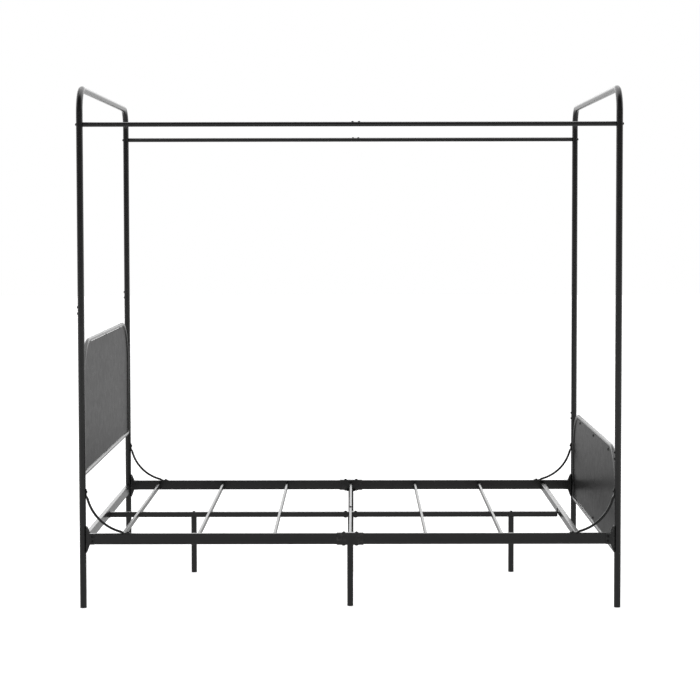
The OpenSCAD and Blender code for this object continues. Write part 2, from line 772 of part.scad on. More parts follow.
// Leg below top_z with a threaded plug in its top.
module leg(x, y, top_z) {
    color("black") translate([x, y, 0]) difference() {
        translate([0, 0, foot_h]) rod_z(leg_d, top_z - foot_h);
        translate([0, 0, foot_h - cut])
            rod_z(leg_d - 2 * leg_wall, top_z - leg_plug_l - foot_h + cut);
        translate([0, 0, top_z - leg_thread_l]) rod_z(bolt_d + thread_gap, leg_thread_l + cut);
    }
}

// Bolts down into the legs: through the beam, through slat 4 and the splice, and
// through the ears of the sleeves.
module leg_bolts() {
    thread_l = leg_thread_l - leg_bolt_short;
    color("dimgray") {
        for (x = beam_leg_x)
            translate([x, 0, slat_low_z]) screw(bolt_d, beam_w + thread_l, bolt_head);
        translate([0, 0, slat_top_z]) screw(bolt_d, slat_h + beam_w + thread_l, bolt_head);
        for (y = [-side_leg_y, side_leg_y])
            translate([0, y, sleeve_low_z + sleeve_wall])
                screw(bolt_d, sleeve_wall + thread_l, bolt_head);
    }
}

module leg_feet() {
    color("black") {
        for (x = [beam_leg_x[0], 0, beam_leg_x[1]]) translate([x, 0, 0]) tube_foot(leg_d, leg_wall);
        for (y = [-side_leg_y, side_leg_y]) translate([0, y, 0]) tube_foot(leg_d, leg_wall);
    }
}

// ---------------------------------------------------------------- corner braces

// Flat end of a brace on the rail, with its bolt hole at brace_reach.
module brace_tab() {
    nose_x = brace_reach + brace_tab_w / 2;
    difference() {
        linear_extrude(brace_tab_t) union() {
            translate([brace_reach - brace_tab_back, -brace_tab_w / 2])
                square([nose_x - brace_reach + brace_tab_back, brace_tab_w]);
            translate([nose_x, 0]) circle(d = brace_tab_w);
        }
        translate([brace_reach, 0, -cut]) rod_z(bolt_d + hole_gap, brace_tab_t + 2 * cut);
    }
}

// Bent rod with flat ends between post and rail. The corner that they make is at the
// origin, the rail runs along +X and the post along +Z.
module brace() {
    from = atan2(brace_far - brace_c, brace_near - brace_c);
    to = atan2(brace_near - brace_c, brace_far - brace_c);
    color("black") union() {
        translate([brace_c, 0, brace_c]) rotate([90, 0, 0]) rotate([0, 0, from])
            rotate_extrude(angle = to - from) translate([brace_bend_r, 0]) circle(d = brace_d);
        brace_tab();
        mirror([1, 0, -1]) brace_tab();
    }
}

module corner_brace(end, side) {
    at_corner(end, side) translate([post_face_x, post_y, rail_top_z]) mirror([1, 0, 0]) brace();
}

module brace_bolts() {
    color("dimgray") at_corners() translate([post_face_x, post_y, rail_top_z]) {
        translate([-brace_reach, 0, brace_tab_t])
            screw(bolt_d, brace_tab_t + rail_wall + brace_bolt_past, bolt_head);
        translate([-brace_tab_t, 0, brace_reach]) rotate([0, -90, 0])
            screw(bolt_d, brace_tab_t + post_wall + brace_bolt_past, bolt_head);
    }
}

// ---------------------------------------------------------------- assembly

post_lower(-1, -1, head_joint_z);  // head_left_post_lower
post_lower(-1, 1, head_joint_z);  // head_right_post_lower
post_lower(1, -1, foot_joint_z);  // foot_left_post_lower
post_lower(1, 1, foot_joint_z);  // foot_right_post_lower
post_upper(-1, -1, head_joint_z);  // head_left_post_upper
post_upper(-1, 1, head_joint_z);  // head_right_post_upper
post_upper(1, -1, foot_joint_z);  // foot_left_post_upper
post_upper(1, 1, foot_joint_z);  // foot_right_post_upper
arch(-1);  // head_arch
arch(1);  // foot_arch
tube_joint_screws();
post_feet();
canopy_rail_head_half(-1);  // left_canopy_rail_head_half
canopy_rail_foot_half(-1);  // left_canopy_rail_foot_half
canopy_rail_head_half(1);  // right_canopy_rail_head_half
canopy_rail_foot_half(1);  // right_canopy_rail_foot_half
canopy_rail_bolts();
headboard_frame();
headboard_panel();
headboard_nuts();
footboard_frame();
footboard_panel();
footboard_screws();
at_corner(-1, -1) rail_half(false);  // left_rail_head_half
at_corner(1, -1) rail_half(true);  // left_rail_foot_half
at_corner(-1, 1) rail_half(false);  // right_rail_head_half
at_corner(1, 1) rail_half(true);  // right_rail_foot_half
at_corner(1, -1) rail_sleeve();  // left_rail_sleeve
at_corner(1, 1) rail_sleeve();  // right_rail_sleeve
rail_brackets();
rail_bracket_bolts();
joint_bolts();
joint_nuts();
head_crossbar();
foot_crossbar();
beam_half(-beam_head_x, -end_gap / 2);  // beam_head_half
beam_half(end_gap / 2, beam_foot_x);  // beam_foot_half
beam_splice();
beam_head_bracket();
beam_foot_bracket();
slat(1);  // slat_1
slat(2);  // slat_2
slat(3);  // slat_3
slat(4);  // slat_4
slat(5);  // slat_5
slat(6);  // slat_6
slat_end_caps();
leg(0, -side_leg_y, sleeve_low_z);  // left_side_leg
leg(0, side_leg_y, sleeve_low_z);  // right_side_leg
leg(0, 0, beam_low_z);  // center_leg
leg(beam_leg_x[0], 0, beam_low_z);  // head_beam_leg
leg(beam_leg_x[1], 0, beam_low_z);  // foot_beam_leg
leg_bolts();
leg_feet();
corner_brace(-1, -1);  // head_left_brace
corner_brace(-1, 1);  // head_right_brace
corner_brace(1, -1);  // foot_left_brace
corner_brace(1, 1);  // foot_right_brace
brace_bolts();
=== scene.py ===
import math

import bpy
import numpy as np
from mathutils import Matrix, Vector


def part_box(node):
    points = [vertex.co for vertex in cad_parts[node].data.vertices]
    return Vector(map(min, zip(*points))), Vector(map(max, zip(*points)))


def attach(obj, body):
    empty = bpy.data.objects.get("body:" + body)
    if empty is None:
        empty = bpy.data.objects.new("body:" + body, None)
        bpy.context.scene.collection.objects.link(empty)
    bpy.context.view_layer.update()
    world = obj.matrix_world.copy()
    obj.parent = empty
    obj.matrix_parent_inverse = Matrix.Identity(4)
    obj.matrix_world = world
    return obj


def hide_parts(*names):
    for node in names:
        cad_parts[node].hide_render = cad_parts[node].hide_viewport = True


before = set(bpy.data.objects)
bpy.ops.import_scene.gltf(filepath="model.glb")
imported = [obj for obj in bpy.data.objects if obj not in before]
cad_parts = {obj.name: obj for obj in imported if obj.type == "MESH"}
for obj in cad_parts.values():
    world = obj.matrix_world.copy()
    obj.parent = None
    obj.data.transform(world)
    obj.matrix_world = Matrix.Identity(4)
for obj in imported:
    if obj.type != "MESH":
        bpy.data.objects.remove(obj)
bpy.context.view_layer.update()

mm = 0.001

# ------------------------------------------------------------------ camera and studio
# A long lens looks along the bed's width from a standing height. The floor is pale, and
# one big soft sky lights the bed: bright behind and above it, dim on the camera's side.
camera_data = bpy.data.cameras.new("camera")
camera_data.lens = 102.37
camera_data.sensor_width = 36.0
camera_data.shift_y = -0.0417
camera = bpy.data.objects.new("camera", camera_data)
bpy.context.collection.objects.link(camera)
yaw, pitch, roll = 0.0026, -0.0521, -0.0017
camera.matrix_world = (Matrix.Translation((0.0209, -8.4712, 1.5197))
                       @ Matrix.Rotation(yaw, 4, "Z")
                       @ Matrix.Rotation(math.pi / 2 + pitch, 4, "X")
                       @ Matrix.Rotation(roll, 4, "Z"))
bpy.context.scene.camera = camera
bpy.context.scene.view_settings.view_transform = "Standard"


def node_maker(tree):
    """Gives a function that adds a node, sets its plain inputs and links the others."""
    def add(kind, settings=(), **inputs):
        made = tree.nodes.new(kind)
        for key, value in dict(settings).items():
            setattr(made, key, value)
        for key, value in inputs.items():
            numbered = key[0] == "i" and key[1:].isdigit()
            socket = made.inputs[int(key[1:]) if numbered else key.replace("_", " ")]
            if isinstance(value, bpy.types.NodeSocket):
                tree.links.new(value, socket)
            else:
                socket.default_value = value
        return made
    return add


def map_range(add, value, low, high, to_low, to_high):
    """A smooth ramp of value from low..high to to_low..to_high."""
    made = add("ShaderNodeMapRange", {"interpolation_type": "SMOOTHSTEP"}, Value=value,
               From_Min=low, From_Max=high, To_Min=to_low, To_Max=to_high)
    return made.outputs[0]


sky = bpy.data.worlds.new("studio_sky")
bpy.context.scene.world = sky
sky.use_nodes = True
sky.node_tree.nodes.clear()
add = node_maker(sky.node_tree)
direction = add("ShaderNodeTexCoord").outputs["Generated"]
split = add("ShaderNodeSeparateXYZ", Vector=direction)
height = map_range(add, split.outputs["Z"], 0.05, 0.14, 1.0, 2.0)
dome = map_range(add, split.outputs["Z"], 0.25, 0.8, 1.0, 0.5)
front = map_range(add, split.outputs["Y"], -0.5, 0.3, 0.09, 1.0)
level = add("ShaderNodeMath", {"operation": "MULTIPLY"}, i0=height, i1=dome).outputs[0]
level = add("ShaderNodeMath", {"operation": "MULTIPLY"}, i0=level, i1=front).outputs[0]
lit = add("ShaderNodeBackground", Color=(1, 1, 1, 1), Strength=level)
seen = add("ShaderNodeBackground", Color=(1, 1, 1, 1), Strength=1.0)
rays = add("ShaderNodeLightPath")
mixed = add("ShaderNodeMixShader", i0=rays.outputs["Is Camera Ray"], i1=lit.outputs[0], i2=seen.outputs[0])
add("ShaderNodeOutputWorld", Surface=mixed.outputs[0])

floor_paint = bpy.data.materials.new("pale_floor")
floor_paint.use_nodes = True
floor_paint.node_tree.nodes.clear()
add = node_maker(floor_paint.node_tree)
place = add("ShaderNodeTexCoord").outputs["Object"]
reach = add("ShaderNodeVectorMath", {"operation": "LENGTH"}, i0=place).outputs["Value"]
glow = map_range(add, reach, 2.5, 7.0, 0.6, 1.0)
far = add("ShaderNodeEmission", Color=(1, 1, 1, 1), Strength=glow)
near = add("ShaderNodeBsdfDiffuse", Color=(0.85, 0.85, 0.85, 1))
lift = add("ShaderNodeEmission", Color=(1, 1, 1, 1), Strength=0.62)
rays = add("ShaderNodeLightPath")
shown = add("ShaderNodeAddShader", i0=near.outputs[0], i1=lift.outputs[0])
mixed = add("ShaderNodeMixShader", i0=rays.outputs["Is Camera Ray"], i1=far.outputs[0], i2=shown.outputs[0])
add("ShaderNodeOutputMaterial", Surface=mixed.outputs[0])
floor_mesh = bpy.data.meshes.new("floor")
half_floor = 30.0
floor_mesh.from_pydata([(-half_floor, -half_floor, 0), (half_floor, -half_floor, 0),
                        (half_floor, half_floor, 0), (-half_floor, half_floor, 0)], [], [(0, 1, 2, 3)])
floor = bpy.data.objects.new("floor", floor_mesh)
floor.data.materials.append(floor_paint)
bpy.context.collection.objects.link(floor)

softbox_data = bpy.data.lights.new("overhead_softbox", "AREA")
softbox_data.shape = "RECTANGLE"
softbox_data.size = 4.0
softbox_data.size_y = 3.0
softbox_data.energy = 60.0
softbox = bpy.data.objects.new("overhead_softbox", softbox_data)
softbox.matrix_world = Matrix.Translation((0, 0.4, 4.2))
bpy.context.collection.objects.link(softbox)

# ------------------------------------------------------------------ lower and upper posts
# The posts are round steel tube in two lengths. The lower one is reduced at its top and
# plugs into the upper one. All of it is powder coated semi-gloss black before assembly.


def powder_coat(name, shade, gloss, peel, peel_scale, matt=0.0):
    """Black powder coat: a faint cloudy colour, uneven gloss and the fine orange peel of a
    baked coat, rubbed lighter and smoother along the edges. gloss is the mean roughness,
    peel the bump's strength, matt the share of the surface that reflects nothing."""
    coat = bpy.data.materials.new(name)
    coat.use_nodes = True
    tree = coat.node_tree
    tree.nodes.clear()
    add = node_maker(tree)
    place = add("ShaderNodeTexCoord").outputs["Object"]
    cloud = add("ShaderNodeTexNoise", Vector=place, Scale=7.0, Detail=4.0, Roughness=0.6)
    tint = add("ShaderNodeValToRGB", Fac=cloud.outputs["Fac"])
    tint.color_ramp.elements[0].position = 0.3
    tint.color_ramp.elements[0].color = (shade * 0.82, shade * 0.82, shade * 0.84, 1)
    tint.color_ramp.elements[1].position = 0.7
    tint.color_ramp.elements[1].color = (shade * 1.18, shade * 1.17, shade * 1.15, 1)
    scuff = add("ShaderNodeTexNoise", Vector=place, Scale=55.0, Detail=5.0, Roughness=0.7)
    rubbed = map_range(add, scuff.outputs["Fac"], 0.42, 0.68, 0.0, 1.0)
    edge = add("ShaderNodeAttribute", {"attribute_name": "edge"}).outputs["Fac"]
    worn = add("ShaderNodeMath", {"operation": "MULTIPLY"}, i0=rubbed, i1=edge).outputs[0]
    colour = add("ShaderNodeMixRGB", Fac=worn, Color1=tint.outputs["Color"], Color2=(0.055, 0.053, 0.050, 1))
    haze = add("ShaderNodeTexNoise", Vector=place, Scale=38.0, Detail=3.0, Roughness=0.55)
    rough = map_range(add, haze.outputs["Fac"], 0.3, 0.7, gloss * 0.93, gloss * 1.07)
    grain = add("ShaderNodeTexNoise", Vector=place, Scale=peel_scale, Detail=2.0, Roughness=0.5)
    bump = add("ShaderNodeBump", Height=grain.outputs["Fac"], Strength=peel, Distance=0.05 * mm)
    rough = add("ShaderNodeMixRGB", Fac=worn, Color1=rough, Color2=(0.16, 0.16, 0.16, 1)).outputs[0]
    gloss_shader = add("ShaderNodeBsdfPrincipled", Base_Color=colour.outputs["Color"], Roughness=rough,
                       IOR=1.5, Normal=bump.outputs[0])
    dull_shader = add("ShaderNodeBsdfDiffuse", Color=colour.outputs["Color"], Normal=bump.outputs[0])
    spread = 0.012 if matt else 0.0
    patchy = map_range(add, haze.outputs["Fac"], 0.3, 0.7, matt - spread, matt + spread)
    both = add("ShaderNodeMixShader", i0=patchy, i1=gloss_shader.outputs[0], i2=dull_shader.outputs[0])
    add("ShaderNodeOutputMaterial", Surface=both.outputs[0])
    return coat


tube_coat = powder_coat("tube_powder_coat", 0.007, 0.24, 0.08, 700.0)


def round_outline(r, count=40):
    """A circle of radius r: (r cos t, r sin t) for t round the full turn."""
    t = np.arange(count) * 2 * np.pi / count
    return np.stack([r * np.cos(t), r * np.sin(t)], -1)


def rounded_outline(corners, r, steps=5):
    """A polygon whose corners are softened: each one becomes a quadratic curve that starts
    and ends at distance r from the corner along its two edges."""
    corners = np.asarray(corners, float)
    back = np.roll(corners, 1, 0) - corners
    ahead = np.roll(corners, -1, 0) - corners
    r_back = np.minimum(r, 0.48 * np.linalg.norm(back, axis=1))[:, None]
    r_ahead = np.minimum(r, 0.48 * np.linalg.norm(ahead, axis=1))[:, None]
    first = corners + r_back * back / np.linalg.norm(back, axis=1)[:, None]
    last = corners + r_ahead * ahead / np.linalg.norm(ahead, axis=1)[:, None]
    t = np.linspace(0, 1, steps)[None, :, None]
    curve = (1 - t) ** 2 * first[:, None] + 2 * t * (1 - t) * corners[:, None] + t ** 2 * last[:, None]
    return curve.reshape(-1, 2)


def box_outline(w, h, r):
    """A rectangle w by h with softened corners of size r."""
    return rounded_outline([(-w / 2, -h / 2), (w / 2, -h / 2), (w / 2, h / 2), (-w / 2, h / 2)], r)


def inset_outline(outline, depth):
    """The outline moved inwards by depth along its own normals, found from its neighbours."""
    along = np.roll(outline, -1, 0) - np.roll(outline, 1, 0)
    along /= np.linalg.norm(along, axis=1)[:, None]
    inward = np.stack([-along[:, 1], along[:, 0]], -1)
    turn = np.sum(outline[:, 0] * np.roll(outline[:, 1], -1) - outline[:, 1] * np.roll(outline[:, 0], -1))
    return outline + depth * np.sign(turn) * inward


def carry(path, outline, up, lip=0.0):
    """A profile carried along a path: ring i is path[i] + a * across + b * up, where across
    is up x tangent. A lip adds rings at both ends that turn in like a quarter round."""
    path = np.asarray(path, float)
    up = np.asarray(up, float)
    tangent = np.gradient(path, axis=0)
    tangent /= np.linalg.norm(tangent, axis=1)[:, None]
    across = np.cross(up, tangent)
    across /= np.linalg.norm(across, axis=1)[:, None]
    rings = path[:, None] + outline[None, :, :1] * across[:, None] + outline[None, :, 1:] * up
    if not lip:
        return rings
    quarter = np.linspace(0, np.pi / 2, 4)[1:]
    starts, ends = [], []
    for angle in quarter:
        inner = inset_outline(outline, lip * (1 - np.cos(angle)))
        slide = lip * np.sin(angle)
        starts.append(path[0] + inner[:, :1] * across[0] + inner[:, 1:] * up + tangent[0] * (lip - slide))
        ends.append(path[-1] + inner[:, :1] * across[-1] + inner[:, 1:] * up - tangent[-1] * (lip - slide))
    rings[0] += tangent[0] * lip
    rings[-1] -= tangent[-1] * lip
    return np.concatenate([np.stack(starts[::-1]), rings, np.stack(ends)])


def skin(rings, closed=False):
    """Quads between neighbouring rings, round each ring; a flat face closes each end unless
    the last ring joins the first one. Returns points and faces."""
    rows, count = rings.shape[:2]
    i = np.arange(rows if closed else rows - 1)[:, None]
    j = np.arange(count)[None, :]
    a = i * count + j
    b = i * count + (j + 1) % count
    c = ((i + 1) % rows) * count + (j + 1) % count
    d = ((i + 1) % rows) * count + j
    quads = np.stack([a, b, c, d], -1).reshape(-1, 4).tolist()
    if not closed:
        quads.append(list(range(count))[::-1])
        quads.append(list(range((rows - 1) * count, rows * count)))
    return rings.reshape(-1, 3), quads


def outward(points, faces):
    """Turns all faces over if the volume they enclose, summed over fans, is negative."""
    total = 0.0
    for face in faces:
        corner = points[face]
        total += (np.cross(corner[1:-1], corner[2:]) * corner[:1]).sum()
    return faces if total > 0 else [face[::-1] for face in faces]


def mark_edges(mesh):
    """Point attribute "edge": the largest angle between two faces that share an edge at the
    point, scaled so that 12 degrees gives 0 and 40 degrees or more gives 1."""
    normals = np.zeros(len(mesh.polygons) * 3)
    mesh.polygons.foreach_get("normal", normals)
    sizes, edge_of = np.zeros(len(mesh.polygons), int), np.zeros(len(mesh.loops), int)
    mesh.polygons.foreach_get("loop_total", sizes)
    mesh.loops.foreach_get("edge_index", edge_of)
    ends_of = np.zeros(len(mesh.edges) * 2, int)
    mesh.edges.foreach_get("vertices", ends_of)
    order = np.argsort(edge_of, kind="stable")
    pair = np.repeat(np.arange(len(sizes)), sizes)[order].reshape(-1, 2)
    normals = normals.reshape(-1, 3)
    angle = np.degrees(np.arccos(np.clip(np.sum(normals[pair[:, 0]] * normals[pair[:, 1]], 1), -1, 1)))
    sharp = np.zeros(len(mesh.vertices))
    np.maximum.at(sharp, ends_of, np.repeat(angle, 2))
    mesh.attributes.new("edge", "FLOAT", "POINT").data.foreach_set("value", np.clip((sharp - 12) / 28, 0, 1))


def piece(name, solids, material, slot, *nodes, smooth=40):
    """One object made of closed skins. It rides with the bed and stands for the given nodes."""
    points, faces, start = [], [], 0
    for solid_points, solid_faces in solids:
        for face in outward(solid_points - solid_points.mean(0), solid_faces):
            faces.append([index + start for index in face])
        points.append(solid_points)
        start += len(solid_points)
    mesh = bpy.data.meshes.new(name)
    mesh.from_pydata(np.concatenate(points), [], faces)
    mark_edges(mesh)
    mesh.shade_smooth()
    mesh.set_sharp_from_angle(angle=math.radians(smooth))
    made = bpy.data.objects.new(name, mesh)
    bpy.context.collection.objects.link(made)
    weighted = made.modifiers.new("weighted_normals", "WEIGHTED_NORMAL")
    weighted.keep_sharp = True
    mesh.materials.append(material)
    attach(made, "root")
    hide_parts(*nodes)
    return made


def rod(start, end, r, lip=0.0, count=40):
    """A straight round bar from start to end."""
    start, end = np.asarray(start, float), np.asarray(end, float)
    axis = (end - start) / np.linalg.norm(end - start)
    up = np.array([0, 0, 1.0]) if abs(axis[2]) < 0.9 else np.array([1.0, 0, 0])
    path = start + (end - start) * np.linspace(0, 1, 3)[:, None]
    return skin(carry(path, round_outline(r, count), up, lip))


ends, sides = ("head", "foot"), ("left", "right")
tube_wall, neck_l = 1.4 * mm, 30 * mm
post_at = {}
for end in ends:
    for side in sides:
        low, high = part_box(f"{end}_{side}_post_upper")
        x, y = (low[0] + high[0]) / 2, (low[1] + high[1]) / 2
        post_r = (high[1] - low[1]) / 2
        foot_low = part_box(f"{end}_{side}_post_lower")[0][2]
        post_at[end, side] = (x, y, low[2], high[2])
        piece(f"{end}_{side}_upper_post_tube", [rod((x, y, low[2]), (x, y, high[2]), post_r, 0.5 * mm)],
              tube_coat, "frame_paint", f"{end}_{side}_post_upper")
        neck = rod((x, y, low[2] - 3 * mm), (x, y, low[2] + neck_l), post_r - tube_wall)
        piece(f"{end}_{side}_lower_post_tube",
              [rod((x, y, foot_low), (x, y, low[2]), post_r, 0.5 * mm), neck],
              tube_coat, "frame_paint", f"{end}_{side}_post_lower")

# ------------------------------------------------------------------ canopy arches
# Each arch is one length of the post tube, bent at both corners on a mandrel. Its
# reduced ends plug into the upper posts.


def quarter_bend(centre, radius, from_angle, to_angle, x, steps=28):
    """Points on a circle in the plane x = const: centre + radius (cos a, sin a) in Y and Z."""
    a = np.linspace(from_angle, to_angle, steps)
    return np.stack([np.full(steps, x), centre[0] + radius * np.cos(a), centre[1] + radius * np.sin(a)], -1)


for end in ends:
    low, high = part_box(f"{end}_arch")
    x = (low[0] + high[0]) / 2
    post_y, seam_z = post_at[end, "right"][1], post_at[end, "right"][3]
    axis_z = high[2] - post_r
    bend_r = 90 * mm
    right = quarter_bend((post_y - bend_r, axis_z - bend_r), bend_r, 0, np.pi / 2, x)
    left = right[::-1] * [1, -1, 1]
    path = np.concatenate([[(x, post_y, seam_z)], right, left, [(x, -post_y, seam_z)]])
    piece(f"{end}_canopy_arch_tube", [skin(carry(path, round_outline(post_r), (1, 0, 0), 0.5 * mm))],
          tube_coat, "frame_paint", f"{end}_arch")

# ------------------------------------------------------------------ post feet
# Each post ends in a black moulded plastic foot, a disc with a soft lower edge whose
# plug is pressed into the tube.
moulded = bpy.data.materials.new("moulded_black_plastic")
moulded.use_nodes = True
moulded.node_tree.nodes.clear()
add = node_maker(moulded.node_tree)
place = add("ShaderNodeTexCoord").outputs["Object"]
speckle = add("ShaderNodeTexNoise", Vector=place, Scale=1400.0, Detail=2.0)
mottle = add("ShaderNodeTexNoise", Vector=place, Scale=60.0, Detail=3.0)
tint = add("ShaderNodeValToRGB", Fac=mottle.outputs["Fac"])
tint.color_ramp.elements[0].color = (0.010, 0.010, 0.010, 1)
tint.color_ramp.elements[1].color = (0.022, 0.022, 0.023, 1)
rough = map_range(add, speckle.outputs["Fac"], 0.3, 0.7, 0.42, 0.58)
bump = add("ShaderNodeBump", Height=speckle.outputs["Fac"], Strength=0.5, Distance=0.08 * mm)
shader = add("ShaderNodeBsdfPrincipled", Base_Color=tint.outputs["Color"], Roughness=rough,
             Normal=bump.outputs[0])
add("ShaderNodeOutputMaterial", Surface=shader.outputs[0])


def turned(profile, at, axis, count=40, waist=None):
    """A turned shape: each profile point (r, h) becomes a ring of radius r at height h along
    axis. Where waist is true the ring is a hexagon: r / cos of the angle to the nearest flat."""
    axis = np.asarray(axis, float) / np.linalg.norm(axis)
    side = np.cross(axis, [1.0, 0, 0] if abs(axis[0]) < 0.9 else [0, 1.0, 0])
    side /= np.linalg.norm(side)
    other = np.cross(axis, side)
    t = np.arange(count) * 2 * np.pi / count
    flat = np.cos((t + np.pi / 6) % (np.pi / 3) - np.pi / 6)
    profile = np.asarray(profile, float)
    hexed = np.zeros(len(profile), bool) if waist is None else np.asarray(waist, bool)
    r = np.where(hexed[:, None], profile[:, :1] / flat[None], profile[:, :1])
    ring = np.cos(t)[None, :, None] * side + np.sin(t)[None, :, None] * other
    return skin(np.asarray(at, float) + r[:, :, None] * ring + profile[:, 1][:, None, None] * axis)


def plastic_foot(x, y, r, height):
    """A disc with a quarter-round lower edge: its profile runs from the sole to the tube, and
    a narrower plug follows above it."""
    soft, bevel, middle = 1.4 * mm, 0.2 * mm, 0.2 * mm
    plug_r, plug_top = r - 1.5 * mm, height + 8 * mm
    a = np.linspace(0, np.pi / 2, 6)
    edge = np.stack([r - soft + soft * np.sin(a), soft - soft * np.cos(a)], -1)
    upper = [(r, height - bevel), (r - 2 * bevel, height), (plug_r, plug_top), (middle, plug_top)]
    return turned(np.concatenate([[(middle, 0)], edge, upper]), (x, y, 0), (0, 0, 1))


foot_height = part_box("head_left_post_lower")[0][2]
feet = [plastic_foot(x, y, post_r, foot_height) for x, y, seam_z, top_z in post_at.values()]
piece("post_feet_moulded", feet, moulded, "cap", "post_feet")

# ------------------------------------------------------------------ joint screws
# Button-head socket screws of black plated steel hold each post joint on the head side,
# and the joints of the two canopy rails from above.
plated = powder_coat("black_plated_steel", 0.009, 0.36, 0.1, 1500.0, 0.3)


def button_head(at, axis, d, h, shank=4 * mm, shank_d=None):
    """A domed head over a shank stub, with a hexagon socket: the profile runs from the floor
    of the socket over the dome to the underside and down the shank."""
    r = d / 2
    socket, middle, under = 0.24 * d, 0.1 * mm, -0.02 * mm
    a = np.linspace(0.35, np.pi / 2, 7)
    dome = np.stack([r * np.sin(a), h * np.cos(a) ** 0.8], -1)
    dome[0, 1] = h
    shank_r = (shank_d or 0.5 * d) / 2
    recess = [(middle, 0.45 * h), (socket, 0.45 * h), (socket, 0.97 * h), (socket + 0.3 * mm, h)]
    stem = [(r, under), (shank_r, under), (shank_r, -shank), (middle, -shank)]
    profile = np.concatenate([recess, dome[1:], stem])
    hexed = np.zeros(len(profile), bool)
    hexed[1:3] = True
    return turned(profile, at, axis, 36, hexed)


screw_rises = (12 * mm, 37 * mm)
screw_head = {"d": 10 * mm, "h": 3 * mm}
bolt_head = {"d": 11 * mm, "h": 3.5 * mm}
head_sink = 0.1 * mm
canopy_low, canopy_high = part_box("left_canopy_rail_foot_half")
canopy_z = (canopy_low[2] + canopy_high[2]) / 2
canopy_r = (canopy_high[2] - canopy_low[2]) / 2
solids = []
for (end, side), (x, y, seam_z, top_z) in post_at.items():
    solids += [button_head((x - post_r + 1.5 * head_sink, y, seam_z + rise), (-1, 0, 0), **screw_head)
               for rise in screw_rises]
for side in sides:
    y = post_at["head", side][1]
    solids += [button_head((rise, y, canopy_z + canopy_r - 1.5 * head_sink), (0, 0, 1), **screw_head)
               for rise in screw_rises]
piece("joint_button_screws", solids, plated, "fastener", "tube_joint_screws")

# ------------------------------------------------------------------ canopy rails
# A thinner round tube in two halves joins the arches on each side. The halves plug into
# each other in the middle, and a bolt through each post pulls the rail against it.
post_face = post_at["foot", "left"][0] - post_r
for side in sides:
    y = post_at["head", side][1]
    head_half = rod((-post_face, y, canopy_z), (0, y, canopy_z), canopy_r, 0.4 * mm)
    plug = rod((-4 * mm, y, canopy_z), (40 * mm, y, canopy_z), canopy_r - tube_wall)
    foot_half = rod((0, y, canopy_z), (post_face, y, canopy_z), canopy_r, 0.4 * mm)
    piece(f"{side}_canopy_tube_head", [head_half, plug], tube_coat, "frame_paint",
          f"{side}_canopy_rail_head_half")
    piece(f"{side}_canopy_tube_foot", [foot_half], tube_coat, "frame_paint",
          f"{side}_canopy_rail_foot_half")
solids = []
for (end, side), (x, y, seam_z, top_z) in post_at.items():
    out = -1 if end == "head" else 1
    solids.append(button_head((x + out * (post_r - head_sink), y, canopy_z), (out, 0, 0), **bolt_head))
piece("canopy_rail_button_bolts", solids, plated, "fastener", "canopy_rail_bolts")

# ------------------------------------------------------------------ headboard and footboard
# Each board is a closed loop of bent tube with welded tabs and lugs; a powder coated
# steel sheet is bolted to the tabs. The headboard has nuts at the back, the footboard
# screws on the mattress side.
sheet_coat = powder_coat("panel_powder_coat", 0.013, 0.3, 0.015, 420.0, 0.58)


def weld_bead(path, r, up, ripple=1.9 * mm):
    """A weld bead: a thin round bar along a path whose radius swells and shrinks as a sine
    of the distance, once for each drop of the weld pool, and tapers at both ends."""
    path = np.asarray(path, float)
    run = np.concatenate([[0], np.cumsum(np.linalg.norm(np.diff(path, axis=0), axis=1))])
    swell = r * (1 + 0.16 * np.sin(2 * np.pi * run / ripple)) * np.sqrt(np.clip(np.minimum(
        run + 0.3 * mm, run[-1] - run + 0.3 * mm) / (1.5 * mm), 0, 1))
    base = carry(path, round_outline(1.0, 10), up)
    return skin(path[:, None] + (base - path[:, None]) * swell[:, None, None])


def straight_weld(start, end, r, up, step=0.5 * mm):
    """A weld bead of radius r over evenly spaced points from start to end."""
    start, end = np.asarray(start, float), np.asarray(end, float)
    count = max(int(np.linalg.norm(end - start) / step), 3)
    return weld_bead(start + (end - start) * np.linspace(0, 1, count)[:, None], r, up)


def plate(x_span, y_span, z_span, thin, soft=0.5 * mm):
    """A sheet-metal block, cut along its thin axis (0, 1 or 2) with slightly softened edges.
    Each span is a pair of limits in either order."""
    low = np.array([min(span) for span in (x_span, y_span, z_span)])
    high = np.array([max(span) for span in (x_span, y_span, z_span)])
    wide = [axis for axis in range(3) if axis != thin]
    middle = (low + high) / 2
    start, end = middle.copy(), middle.copy()
    start[thin], end[thin] = low[thin], high[thin]
    up = np.zeros(3)
    up[wide[1]] = 1.0
    outline = box_outline(high[wide[0]] - low[wide[0]], high[wide[1]] - low[wide[1]], 0.8 * mm)
    return skin(carry(start + (end - start) * np.linspace(0, 1, 3)[:, None], outline, up, soft))


board_tube_r = 8 * mm
board_bend = 195 * mm
low_bend = 16 * mm
fix_inset, top_fix_in, low_fix_in, side_fix_up = 13 * mm, 63 * mm, 98 * mm, 143 * mm
post_y = post_at["head", "right"][1]
post_gap = 1 * mm
board_y = post_y - post_r - post_gap - board_tube_r
panel_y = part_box("headboard_panel")[1][1]
panel_gap = board_y - board_tube_r - panel_y


